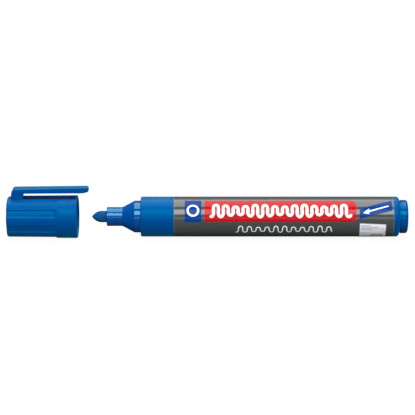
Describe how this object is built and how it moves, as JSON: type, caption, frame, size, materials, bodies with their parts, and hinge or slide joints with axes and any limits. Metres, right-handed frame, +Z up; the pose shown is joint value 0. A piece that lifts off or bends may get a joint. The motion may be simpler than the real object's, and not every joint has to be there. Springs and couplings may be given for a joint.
{
  "type": "whiteboard marker",
  "caption": "Round dry-erase marker lying on its side, bullet nib bare, with a fluted clip cap drawn off in line with the barrel.",
  "frame": {"origin": "under the middle of the whole length, with the cap drawn off, on the surface that the marker lies on", "axes": "+X along the barrel from the cap to the tail, +Y across the barrel, +Z up through the middle of the cap's clip"},
  "size_m": [0.1596, 0.0172, 0.0208],
  "materials": {
    "barrel_tube": "plain extruded tube, hidden under the label",
    "label_print": "glossy printed film",
    "blue_matt": "fine spark-eroded texture",
    "felt": "ink-soaked pressed felt",
    "fibre": "ink-soaked fibre bundle",
    "film": "thin clear film",
    "blue_gloss": "polished",
    "seal": "soft natural polyethylene"
  },
  "bodies": {
    "barrel": {"barrel_tube": "barrel_tube", "label_sleeve": "label_print", "nib_section": "blue_matt", "bullet_nib": "felt", "ink_reservoir": "fibre", "reservoir_film": "film", "end_plug": "blue_gloss"},
    "cap": {"cap_shell": "blue_matt", "cap_inner_seal": "seal"},
    "clip": {"clip_arm": "blue_matt"}
  },
  "joints": [
    {"name": "cap_slide", "type": "slide", "parent": "barrel", "child": "cap", "axis": [1, 0, 0], "range_m": [0, 0.0251]},
    {"name": "clip_flex", "type": "hinge", "parent": "cap", "child": "clip", "pos_m": [-0.0724, 0, 0.01963], "axis": [0, -1, 0], "range_deg": [0, 4], "stiffness_Nm_per_rad": 1.2}
  ]
}
